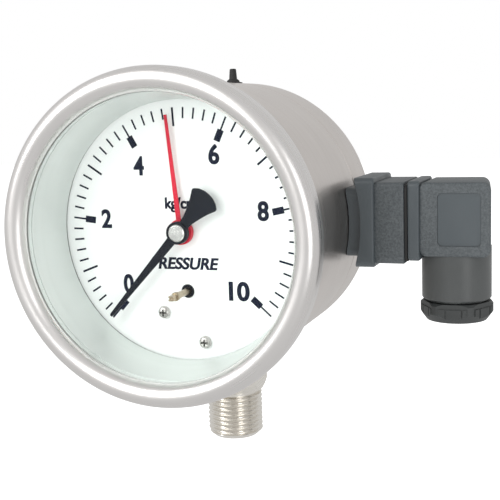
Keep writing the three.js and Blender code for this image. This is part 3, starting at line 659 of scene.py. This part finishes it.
def glyphs(text):
    """The outlines of some letters, as a flat mesh in the font's own size."""
    curve = bpy.data.curves.new("text", "FONT")
    curve.body = text
    curve.offset = GLYPH_SWELL
    curve.resolution_u = 6
    source = bpy.data.objects.new("text", curve)
    bpy.context.scene.collection.objects.link(source)
    graph = bpy.context.evaluated_depsgraph_get()
    mesh = bpy.data.meshes.new_from_object(source.evaluated_get(graph))
    bpy.data.objects.remove(source)
    return mesh


def extent(mesh, axis):
    values = [v.co[axis] for v in mesh.vertices]
    return min(values), max(values)


def dial_text(name, text, centre, cap_height, width, slant, lift):
    """Letters printed on the dial. centre is the middle of the text at half the capitals' height."""
    cap_low, cap_high = extent(glyphs("H"), 1)
    mesh = glyphs(text)
    left, right = extent(mesh, 0)
    stretch_x = width / (right - left)
    stretch_z = cap_height / (cap_high - cap_low)
    for vertex in mesh.vertices:
        z = (vertex.co.y - (cap_low + cap_high) / 2) * stretch_z
        x = (vertex.co.x - (left + right) / 2) * stretch_x + slant * z
        vertex.co = to_row(centre[0] + x, DIAL_FRONT - lift, centre[1] + z)
    mesh.name = name
    finish_piece(name, mesh, PRINT_NAVY, "frame", slot="dial")


def bold_text(name, text, centre, cap_height, width, spread, slant=0.0):
    """The same letters printed twice, a little apart, for a heavier stroke."""
    for copy, shift in enumerate((-spread, spread)):
        lift = PRINT_LIFT * (1 + copy / 4)
        place = (centre[0] + shift, centre[1])
        dial_text(f"{name}_{copy}", text, place, cap_height, width, slant, lift)


def make_numerals():
    for value, place in NUMERALS.items():
        width = 7.3 if value == 10 else 3.8
        bold_text(f"numeral_{value}", str(value), place, 6.5, width, 0.09)
    bold_text("unit", "kg/cm²", (0.6, 9.6), 3.9, 13.2, 0.08)
    bold_text("legend", "PRESSURE", (0.2, -10.9), 4.1, 24.4, 0.07, 0.2)


# ---- pointers ----
POINTER_OUTLINE = [
    (0, 1.9),
    (4, 1.6),
    (38.8, 0.62),
    (39.5, 0.4),
    (39.5, -0.4),
    (38.8, -0.62),
    (4, -1.6),
    (0, -1.9),
    (-3.5, -1.7),
    (-6, -2.0),
    (-9, -2.9),
    (-12, -4.0),
    (-15.2, -5.6, 0.9),
    (-16.6, -3.8),
    (-17.3, -1.9),
    (-17.5, 0),
    (-17.3, 1.9),
    (-16.6, 3.8),
    (-15.2, 5.6, 0.9),
    (-12, 4.0),
    (-9, 2.9),
    (-6, 2.0),
    (-3.5, 1.7),
]


def along_pointer(outline, angle):
    """Turns (length, side) points so that length runs out from the axis at this clockwise angle."""
    ahead = Vector(at_angle(1, angle))
    side = Vector((ahead.y, -ahead.x))
    return [tuple(ahead * length + side * across) for length, across in outline]


def make_pointer():
    outline = along_pointer(filleted(POINTER_OUTLINE), ZERO_ANGLE)
    blade = prism_mesh("blade", outline, -40.2, -39.6)
    boss = filleted([(0, -41), (3.8, -41, 0.25), (3.8, -38.9), (0, -38.9)], False)
    hub = lathe_mesh("hub", boss, sides=96, closed=False)
    bore = lathe_mesh("bore", [(0, -42), (3.05, -42), (3.05, -40.4), (0, -40.4)], sides=96, closed=False)
    mesh = carved("pointer_blade", blade, joins=[hub], cuts=[bore])
    names = {"replaces": ["pointer"], "slot": "pointer_black"}
    piece = finish_piece("pointer_blade", mesh, POINTER_BLACK, "pointer", **names)
    bevel(piece, 0.08, 2)
    cap = [(0, -41.45), (2.5, -41.4, 0.15), (2.95, -41.0, 0.2), (2.95, -40.5), (0, -40.5)]
    lathe("pointer_button", cap, SILVER, "pointer", sides=96, replaces=["pointer_cap"], slot="silver")


def make_set_pointer():
    taper = [(0, 0.85), (6, 0.85), (39.3, 0.5), (39.3, -0.5), (6, -0.85), (0, -0.85)]
    blade = prism_mesh("blade", along_pointer(taper, SET_ANGLE), -37.9, -37.4)
    boss = filleted([(0, -38.2), (4.3, -38.2, 0.2), (4.3, -36.3), (0, -36.3)], False)
    hub = lathe_mesh("hub", boss, sides=96, closed=False)
    bore = lathe_mesh("bore", [(0, -40), (2.9, -40), (2.9, -30), (0, -30)], sides=64, closed=False)
    mesh = carved("set_hand", blade, joins=[hub], cuts=[bore])
    piece = finish_piece("set_hand", mesh, SET_RED, "set_pointer", replaces=["set_pointer"], slot="set_red")
    bevel(piece, 0.06, 2)


def make_adjuster():
    x, z = at_angle(ADJUSTER_R, ADJUSTER_ANGLE)
    profile = [
        (0, -46.6),
        (1.3, -46.6, 0.1),
        (1.5, -46.3, 0.1),
        (1.5, -44.9, 0.1),
        (1.15, -44.6, 0.1),
        (1.15, -26.2),
        (0, -26.2),
    ]
    shaft = lathe_mesh("shaft", filleted(profile, False, 3), "y", (x, 0, z), SMALL_ROUND, False)
    key = box_mesh("key", (x - 0.85, -49.8, z - 0.85), (x + 0.85, -46, z + 0.85))
    slot = box_mesh("slot", (x - 1.2, -50, z - 0.2), (x + 1.2, -49, z + 0.2))
    mesh = carved("setting_spindle", shaft, joins=[key], cuts=[slot])
    names = {"replaces": ["adjuster_spindle"], "slot": "brass"}
    piece = finish_piece("setting_spindle", mesh, BRASS, "adjuster", **names)
    bevel(piece, 0.1, 2)


# ---- stem ----
def stem_radius(angle, z):
    """The stem's outside at one height: a chamfered thread, its relief, then the square."""
    if z < THREAD_TOP:
        phase = (z - STEM_END) / THREAD_PITCH - angle / (2 * math.pi)
        wave = 0.5 - 0.5 * math.cos(2 * math.pi * phase)
        thread = THREAD_R - THREAD_DEPTH * wave**0.8
        chamfer = THREAD_R - 1.9 + (z - STEM_END) * 1.1
        return min(thread, chamfer)
    if z < FLATS_LOW:
        return THREAD_R - 1.2
    square = SQUARE / 2 / max(abs(math.cos(angle)), abs(math.sin(angle)))
    cone = SQUARE / 2 - 0.1 + (z - FLATS_LOW) * 0.75
    return min(square, CORNER_R, cone)


def make_stem():
    sides = 160
    thread_rows = int((THREAD_TOP - STEM_END) / THREAD_PITCH * 10) + 1
    rows = [STEM_END + k * THREAD_PITCH / 10 for k in range(thread_rows)]
    rows += [FLATS_LOW - 1.59, FLATS_LOW - 0.01]
    rows += [FLATS_LOW + 0.25 * k for k in range(14)] + [-60, -55, -45]
    points = []
    for z in rows:
        for k in range(sides):
            angle = 2 * math.pi * (k + 0.5) / sides
            r = stem_radius(angle, z)
            points.append((r * math.cos(angle), STEM_Y + r * math.sin(angle), z))
    faces = [tuple(range(sides)), tuple(range(len(points) - sides, len(points)))]
    for i in range(len(rows) - 1):
        for k in range(sides):
            j = (k + 1) % sides
            faces.append((i * sides + k, i * sides + j, (i + 1) * sides + j, (i + 1) * sides + k))
    body = mesh_from("stem_body", points, faces)
    bore = [(0, STEM_END - 1), (3.3, STEM_END - 1), (2.5, STEM_END + 0.8), (2.5, -46), (0, -46)]
    port = lathe_mesh("port", bore, "z", (0, STEM_Y, 0), SMALL_ROUND, False)
    outer = carved("outer", body, cuts=[case_cylinder(CASE_R + 0.05)])
    socket = box_mesh("socket", (-8, -11.5, -52), (8, 13.6, -31))
    mesh = carved("stem_fitting", outer, joins=[socket], cuts=[port])
    finish_piece("stem_fitting", mesh, STEM_STEEL, "frame", replaces=["stem"], slot="stem", sharp=28)


# ---- electrical connector ----
def rounded_rectangle(low, high, radius):
    (x0, z0), (x1, z1) = low, high
    return filleted([(x0, z0, radius), (x1, z0, radius), (x1, z1, radius), (x0, z1, radius)])


def bar_mesh(name, side, start, end, rise=0.0, radius=0.01):
    half = side / 2
    outline = rounded_rectangle((PLUG_Y - half, rise - half), (PLUG_Y + half, rise + half), radius)
    return prism_mesh(name, outline, start, end, "x")


def make_base():
    flange = softened(bar_mesh("flange", FLANGE_SIDE, 40, 59.6, 0.2, 2.2), 0.7)
    shaped = carved("flange", flange, cuts=[case_cylinder(SADDLE_R)])
    bar = bar_mesh("neck", NECK_SIDE, 40, 58, radius=3)
    neck = carved("neck", bar, cuts=[case_cylinder(CASE_R + 0.15)])
    mesh = carved("base_flange", shaped, joins=[neck])
    # The flange and its neck take the darker plastic as painted shade for the shadowed band beside the
    # case.
    piece = finish_piece("base_flange", mesh, PANEL_PLASTIC_AND_SHADE, "frame", slot="grey_plastic")
    bevel(piece, 0.2, 2)
    half = BASE_SIDE / 2
    y0, y1 = PLUG_Y - half, PLUG_Y + half
    outline = [(y0, half, 1.4), (y1, half, 1.4), (y1, 2.2 - half, 1), (y1 - 1.4, -half, 1)]
    outline += [(y0 + 1.4, -half, 1), (y0, 2.2 - half, 1)]
    body = softened(prism_mesh("body", filleted(outline), 59, BASE_END, "x"), 0.4, 3)
    slots = [
        box_mesh("slot", (62, PLUG_Y + y - dy, z - dz), (72, PLUG_Y + y + dy, z + dz))
        for y, z, dy, dz in ((0, 6.4, 3.2, 0.6), (0, -6.4, 3.2, 0.6), (6.4, 0, 0.6, 3.2))
    ]
    bore = lathe_mesh("bore", [(0, 62), (1.7, 62), (1.7, 72), (0, 72)], "x", (0, PLUG_Y, 0), 32, False)
    mesh = carved("base_block", body, cuts=[*slots, bore])
    names = {"replaces": ["connector_base"], "slot": "grey_plastic"}
    finish_piece("base_block", mesh, GREY_PLASTIC, "frame", **names)


def lean_in(mesh, from_x, from_y):
    """Slants the outer end of a block, which gets shorter towards the back and keeps its round corners."""
    lean = math.tan(math.radians(PLUG_DRAFT))
    for vertex in mesh.vertices:
        if vertex.co.x > from_x:
            vertex.co.x -= lean * (vertex.co.y - from_y)


def make_plug():
    rim = softened(bar_mesh("rim", PLUG_RIM, PLUG_START, PLUG_START + 4, RIM_RISE, 1.8), 0.7)
    inner = bar_mesh("inner", PLUG_CAVITY, 60, PLUG_START + 6, PLUG_RISE)
    collar = carved("plug_collar", rim, cuts=[inner])
    finish_piece("plug_collar", collar, PANEL_PLASTIC_AND_SHADE, "plug", slot="grey_plastic")
    half = PLUG_SIDE / 2
    front = PLUG_Y - half
    low = PLUG_RISE - half
    outline = rounded_rectangle((PLUG_START + 3.5, low), (PLUG_END, PLUG_RISE + half), HOOD_CORNER)
    block = prism_mesh("hood", outline, front, PLUG_Y + half)
    lean_in(block, (PLUG_END - HOOD_CORNER - 0.1) * MM, to_row(0, front, 0).y)
    hood = softened(block, 1.1, 5)
    outline = rounded_rectangle((80.7, -7.7), (95.1, 10.2), 1.6)
    recess = prism_mesh("recess", outline, front - 1, front + 0.5)
    cavity = bar_mesh("cavity", PLUG_CAVITY, 60, PLUG_END - 8, PLUG_RISE)
    bore = [(0, SCREW_SEAT), (3.7, SCREW_SEAT), (3.7, 110), (0, 110)]
    seat = lathe_mesh("seat", bore, "x", (0, PLUG_Y, 0), SMALL_ROUND, False)
    piece = finish_piece(
        "plug_hood",
        carved("plug_hood", hood, cuts=[recess, cavity, seat]),
        GREY_PLASTIC,
        "plug",
        replaces=["plug_housing"],
        slot="grey_plastic",
    )
    bevel(piece, 0.12, 2, angle=50)
    outline = rounded_rectangle((80.75, -7.65), (95.05, 10.15), 1.6)
    panel = prism_mesh("plug_panel", outline, front + 0.35, front + 0.7)
    finish_piece("plug_panel", panel, PANEL_PLASTIC_AND_SHADE, "plug", slot="grey_plastic")
    neck = [
        (7.3, low + 2.4),
        (GLAND_R, low + 2.4),
        (GLAND_R, low - 15.4, 0.5),
        (GLAND_R - 1.3, low - 16.4, 0.4),
        (GLAND_R - 3, low - 16.4),
        (GLAND_R - 3, low - 20),
        (7.3, low - 20),
    ]
    lathe("gland_neck", neck, GLAND_PLASTIC, "plug", "z", (GLAND_X, PLUG_Y, 0), 96, slot="grey_plastic")


def make_gland_nut():
    r = NUT_CORNER_R
    turns = [math.pi * k / 3 for k in range(6)]
    outline = [(GLAND_X + r * math.cos(turn), PLUG_Y + r * math.sin(turn)) for turn in turns]
    nut = prism_mesh("nut", outline, NUT_BOTTOM, NUT_TOP, "z")
    cone = [
        (0, NUT_BOTTOM),
        (10.4, NUT_BOTTOM),
        (12.5, NUT_BOTTOM + 2.9),
        (12.5, NUT_TOP - 0.8),
        (11.6, NUT_TOP),
        (0, NUT_TOP),
    ]
    bore = [(0, -40), (4.9, -40), (4.9, -33), (9.2, -33), (9.2, -20), (0, -20)]
    centre = (GLAND_X, PLUG_Y, 0)
    flat = -r * math.cos(math.pi / 6)
    pads = []
    for turn in turns:
        spin = Matrix.Rotation(turn, 3, "Z")
        for low, high in ((-4.6, -2.4), (-1.9, 3.1), (3.6, 4.9)):
            corners = [(low, flat - 0.3), (high, flat - 0.3), (high, flat + 0.5), (low, flat + 0.5)]
            turned = [spin @ Vector((*corner, 0)) + Vector(centre) for corner in corners]
            pad = [(p.x, p.y) for p in turned]
            pads.append(prism_mesh("pad", pad, NUT_BOTTOM + 0.9, NUT_TOP - 1.7, "z"))
    shaped = carved("nut", nut, joins=pads, keep_inside=[lathe_mesh("cone", cone, "z", centre, 96, False)])
    mesh = carved("pressure_nut", shaped, cuts=[lathe_mesh("bore", bore, "z", centre, 64, False)])
    names = {"replaces": ["gland_nut"], "slot": "dark_plastic"}
    piece = finish_piece("pressure_nut", mesh, [DARK_PLASTIC, DARK_EDGE_WEAR_AND_HIGHLIGHT], "plug", **names)
    # The bevel's faces take the lighter edge plastic: wear and a painted highlight along the nut's edges.
    bevel(piece, 0.15, 2, 1, 20)


def make_plug_screw():
    profile = [
        (0, 67.5),
        (1.4, 67.5, 0.2),
        (1.4, SCREW_SEAT + 0.3),
        (3.2, SCREW_SEAT + 0.3),
        (3.2, SCREW_SEAT + 1.6, 0.4),
        (2.6, SCREW_SEAT + 2.1, 0.4),
        (0, SCREW_SEAT + 2.1),
    ]
    screw = lathe_mesh("screw", filleted(profile, False), "x", (0, PLUG_Y, 0), SMALL_ROUND, False)
    slot = box_mesh("slot", (SCREW_SEAT + 1.3, PLUG_Y - 4, -0.4), (SCREW_SEAT + 3, PLUG_Y + 4, 0.4))
    mesh = carved("fixing_screw", screw, cuts=[slot])
    names = {"replaces": ["plug_screw"], "slot": "fastener"}
    piece = finish_piece("fixing_screw", mesh, FASTENER_STEEL, "plug", **names)
    bevel(piece, 0.1, 2)


# ---- CAD nodes whose shape is kept ----
KEPT_LOOKS = {
    "stem_seal": RUBBER,
    "restrictor_screw": BRASS,
    "bourdon_tube": BRONZE,
    "tube_tip": BRASS,
    "movement_front_plate": BRASS,
    "movement_back_plate": BRASS,
    "sector_gear": BRASS,
    "link": BRASS,
    "pointer_shaft": FASTENER_STEEL,
    "hairspring": BRONZE,
    "set_wheel": BRASS,
    "contact_bracket": FASTENER_STEEL,
    "set_contact": SILVER,
    "contact_arm": FASTENER_STEEL,
    "moving_contact": SILVER,
    "adjuster_pinion": BRASS,
    "terminal_strip": DARK_PLASTIC,
    "lead_common": LEAD_RED,
    "lead_contact": LEAD_BLACK,
    "lead_earth": LEAD_GREEN,
    "connector_pin_1": SILVER,
    "connector_pin_2": SILVER,
    "connector_pin_earth": SILVER,
    "connector_gasket": RUBBER,
    "contact_insert": DARK_PLASTIC,
    "gland_seal": RUBBER,
    "gland_washer": FASTENER_STEEL,
    **{f"movement_pillar_{k}": BRASS for k in (1, 2, 3)},
    **{f"movement_screw_{k}": FASTENER_STEEL for k in (1, 2)},
    **{f"dial_post_{k}": BRASS for k in (1, 2)},
}


def dress_kept_nodes():
    for name, material in KEPT_LOOKS.items():
        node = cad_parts[name]
        node.data.materials.clear()
        node.data.materials.append(material)


# ---- studio ----
CAMERA_AZIMUTH = 20.32
CAMERA_ELEVATION = 8.17
CAMERA_ROLL = -1.9
CAMERA_DISTANCE = 291.5
CAMERA_SENSOR = 36
CAMERA_LENS = 69.9588
CAMERA_TARGET = (33.7, BEZEL_FRONT, -1.85)
FLOOR_Z = -0.12
FLOOR_REACH = 4.0
ROOM_FRONT = 0.72
ROOM_SIDES = 0.7


def make_camera():
    azimuth = math.radians(CAMERA_AZIMUTH)
    elevation = math.radians(CAMERA_ELEVATION)
    roll = math.radians(CAMERA_ROLL)
    flat = math.cos(elevation)
    back = Vector((math.sin(azimuth) * flat, -math.cos(azimuth) * flat, math.sin(elevation)))
    level = Vector((0, 0, 1)).cross(back).normalized()
    up = back.cross(level)
    right = level * math.cos(roll) + up * math.sin(roll)
    up = back.cross(right)
    camera = bpy.data.objects.new("camera", bpy.data.cameras.new("camera"))
    camera.data.lens = CAMERA_LENS
    camera.data.sensor_width = CAMERA_SENSOR
    place = to_row(*CAMERA_TARGET) + back * CAMERA_DISTANCE * MM
    camera.matrix_world = Matrix.Translation(place) @ Matrix((right, up, back)).transposed().to_4x4()
    bpy.context.scene.collection.objects.link(camera)
    bpy.context.scene.camera = camera


def aimed_at(place, target):
    direction = to_row(*target) - place
    return Matrix.Translation(place) @ direction.to_track_quat("-Z", "Y").to_matrix().to_4x4()


def soft_light(name, place, size, power):
    light = bpy.data.lights.new(name, "AREA")
    light.shape = "RECTANGLE"
    light.size, light.size_y = size
    light.energy = power
    lamp = bpy.data.objects.new(name, light)
    lamp.matrix_world = aimed_at(Vector(place), (0, -30, 0))
    bpy.context.scene.collection.objects.link(lamp)


def make_floor():
    mesh = bpy.data.meshes.new("floor")
    corners = [(x * FLOOR_REACH, y * FLOOR_REACH, FLOOR_Z) for x, y in ((-1, -1), (1, -1), (1, 1), (-1, 1))]
    mesh.from_pydata(corners, [], [(0, 1, 2, 3)])
    shader = Shader("floor_white", (0.95, 0.95, 0.95), 0.9)
    shader.vary_color(shader.noise((0.01, 0.01, 0.01)), (0.94, 0.94, 0.94), (0.96, 0.96, 0.96))
    shader.set("Emission Color", (1, 1, 1, 1))
    shader.set("Emission Strength", 0.6)
    mesh.materials.append(shader.material)
    floor = bpy.data.objects.new("floor", mesh)
    floor.visible_glossy = False
    bpy.context.scene.collection.objects.link(floor)


def make_world():
    """White behind the object. The room it reflects is an even pale grey, a little brighter in front."""
    world = bpy.data.worlds.new("studio")
    world.use_nodes = True
    tree = world.node_tree
    direction = tree.nodes.new("ShaderNodeTexCoord")
    parts = tree.nodes.new("ShaderNodeSeparateXYZ")
    room = tree.nodes.new("ShaderNodeMapRange")
    room.interpolation_type = "SMOOTHSTEP"
    room.inputs["From Min"].default_value = -1.0
    room.inputs["From Max"].default_value = 0.35
    room.inputs["To Min"].default_value = ROOM_FRONT
    room.inputs["To Max"].default_value = ROOM_SIDES
    seen = tree.nodes.new("ShaderNodeLightPath")
    strength = tree.nodes.new("ShaderNodeMix")
    strength.inputs["B"].default_value = 1.0
    tree.links.new(direction.outputs["Generated"], parts.inputs["Vector"])
    tree.links.new(parts.outputs["Y"], room.inputs["Value"])
    tree.links.new(seen.outputs["Is Camera Ray"], strength.inputs["Factor"])
    tree.links.new(room.outputs["Result"], strength.inputs["A"])
    background = tree.nodes["Background"]
    background.inputs["Color"].default_value = (1, 1, 1, 1)
    tree.links.new(strength.outputs["Result"], background.inputs["Strength"])
    bpy.context.scene.world = world


def make_studio():
    make_camera()
    make_floor()
    make_world()
    soft_light("key", (-0.7, -1.2, 0.7), (1.1, 1.1), 15)
    soft_light("fill", (0.9, -0.9, 0.2), (0.5, 0.9), 3)
    bpy.context.scene.view_settings.view_transform = "Standard"


make_case()
make_bezel()
make_window()
make_vent()
make_back()
make_dial()
make_scale()
make_numerals()
make_pointer()
make_set_pointer()
make_adjuster()
make_stem()
make_base()
make_plug()
make_gland_nut()
make_plug_screw()
dress_kept_nodes()
make_studio()
